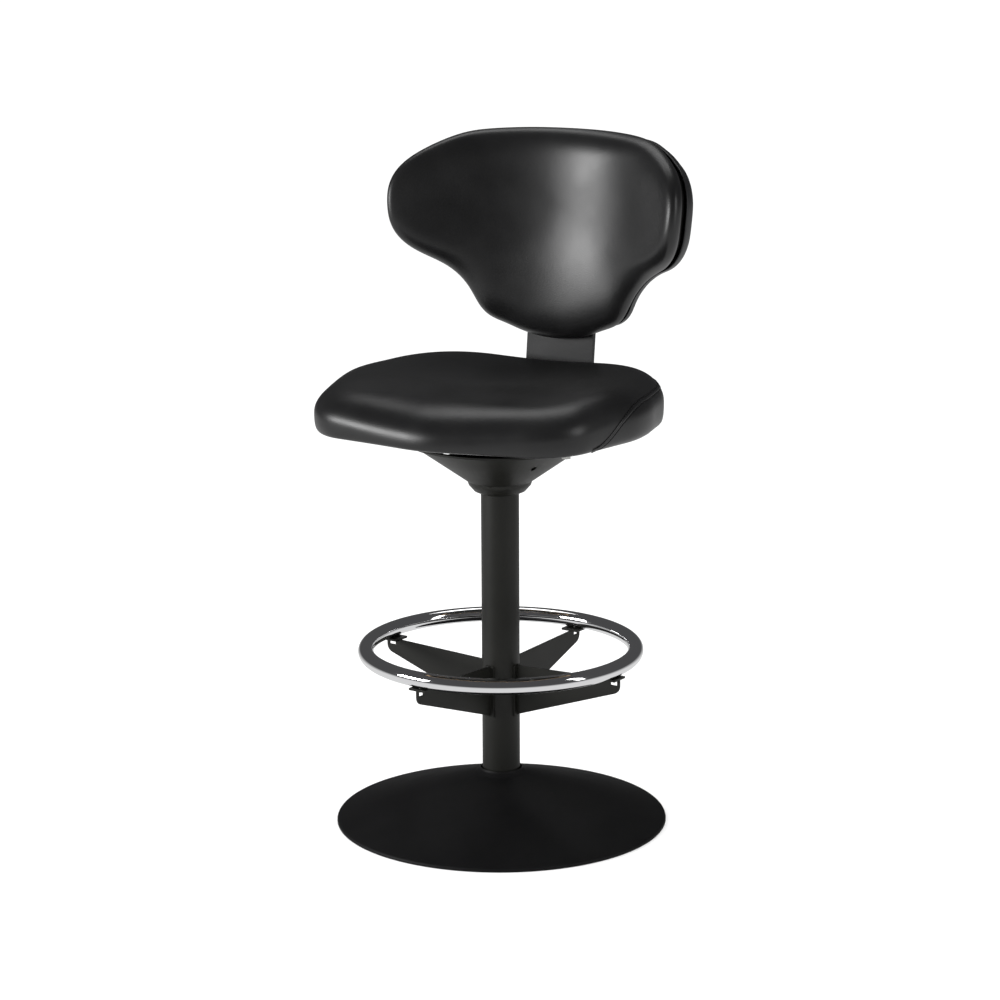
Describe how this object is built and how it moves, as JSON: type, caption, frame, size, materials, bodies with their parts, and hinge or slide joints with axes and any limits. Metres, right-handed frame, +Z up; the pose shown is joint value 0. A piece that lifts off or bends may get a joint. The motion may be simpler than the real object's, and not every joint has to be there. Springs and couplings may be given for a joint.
{
  "type": "drafting chair",
  "caption": "Armless drafting chair: weighted disc base, fixed column with footring, gas-lift swivel seat, wrap-round winged back on a flat bar.",
  "frame": {"origin": "on the floor, on the column's axis", "axes": "+Z up along the column, -Y the way the sitter faces, +X the sitter's left"},
  "size_m": [0.446, 0.4578, 0.9202],
  "materials": {
    "rubber": "matte black rubber",
    "iron": "raw casting, dark",
    "base_paint": "fine-textured matte black powder coat",
    "column_paint": "satin black powder coat",
    "bar_paint": "satin black paint",
    "zinc": "zinc-plated steel",
    "bright_steel": "ground steel",
    "guide_plastic": "moulded black plastic",
    "chrome": "polished chrome plate",
    "ply": "moulded beech plywood",
    "underlay": "black non-woven dust cloth",
    "leather": "smooth black upholstery leather, semi-gloss",
    "shell_plastic": "satin black moulded shell"
  },
  "bodies": {
    "pedestal": {"floor_pad": "rubber", "base_ballast": "iron", "base_cover": "base_paint", "hub_flange": "base_paint", "hub_bolts": "zinc", "stand_tube": "column_paint", "tube_foot": "bright_steel", "guide_bush": "guide_plastic", "lower_race": "bright_steel", "bump_stop": "rubber", "footring": "chrome", "ring_arm_1": "column_paint", "ring_arm_2": "column_paint", "ring_arm_3": "column_paint", "ring_arm_4": "column_paint", "ring_screws": "zinc"},
    "lift_rod": {"piston_rod": "bright_steel", "piston": "bright_steel", "rod_clip": "zinc", "upper_race": "bright_steel", "bearing_balls": "bright_steel"},
    "seat": {"gas_cylinder": "bar_paint", "rod_guide": "bright_steel", "carrier_funnel": "column_paint", "taper_socket": "column_paint", "lever_yoke": "column_paint", "lever_pivot": "zinc", "mount_plate": "column_paint", "bar_bolts": "zinc", "bar_nuts": "zinc", "seat_spacers": "column_paint", "seat_bolts": "zinc", "seat_nuts": "zinc", "seat_board": "ply", "seat_underlay": "underlay", "seat_cushion": "leather", "back_bar": "bar_paint", "back_bolts": "zinc", "back_nuts": "zinc", "back_board": "ply", "back_cushion": "leather", "back_shell": "shell_plastic", "shell_screws": "zinc"},
    "lever": {"lift_lever": "bar_paint", "lever_grip": "guide_plastic"},
    "pin": {"release_pin": "bright_steel"}
  },
  "joints": [
    {"name": "seat_swivel", "type": "hinge", "parent": "pedestal", "child": "lift_rod", "pos_m": [0, 0, 0.03], "axis": [0, 0, 1], "continuous": true},
    {"name": "seat_height", "type": "slide", "parent": "lift_rod", "child": "seat", "axis": [0, 0, 1], "range_m": [0, 0.2]},
    {"name": "lever_lift", "type": "hinge", "parent": "seat", "child": "lever", "pos_m": [-0.032, 0, 0.503], "axis": [0, 1, 0], "range_deg": [0, 5], "stiffness_Nm_per_rad": 8, "springref_deg": -2.86},
    {"name": "pin_press", "type": "slide", "parent": "seat", "child": "pin", "axis": [0, 0, -1], "range_m": [0, 0.0035]}
  ],
  "couplings": [
    {"joint": "pin_press", "follows": "lever_lift", "m_per_rad": 0.0365}
  ]
}
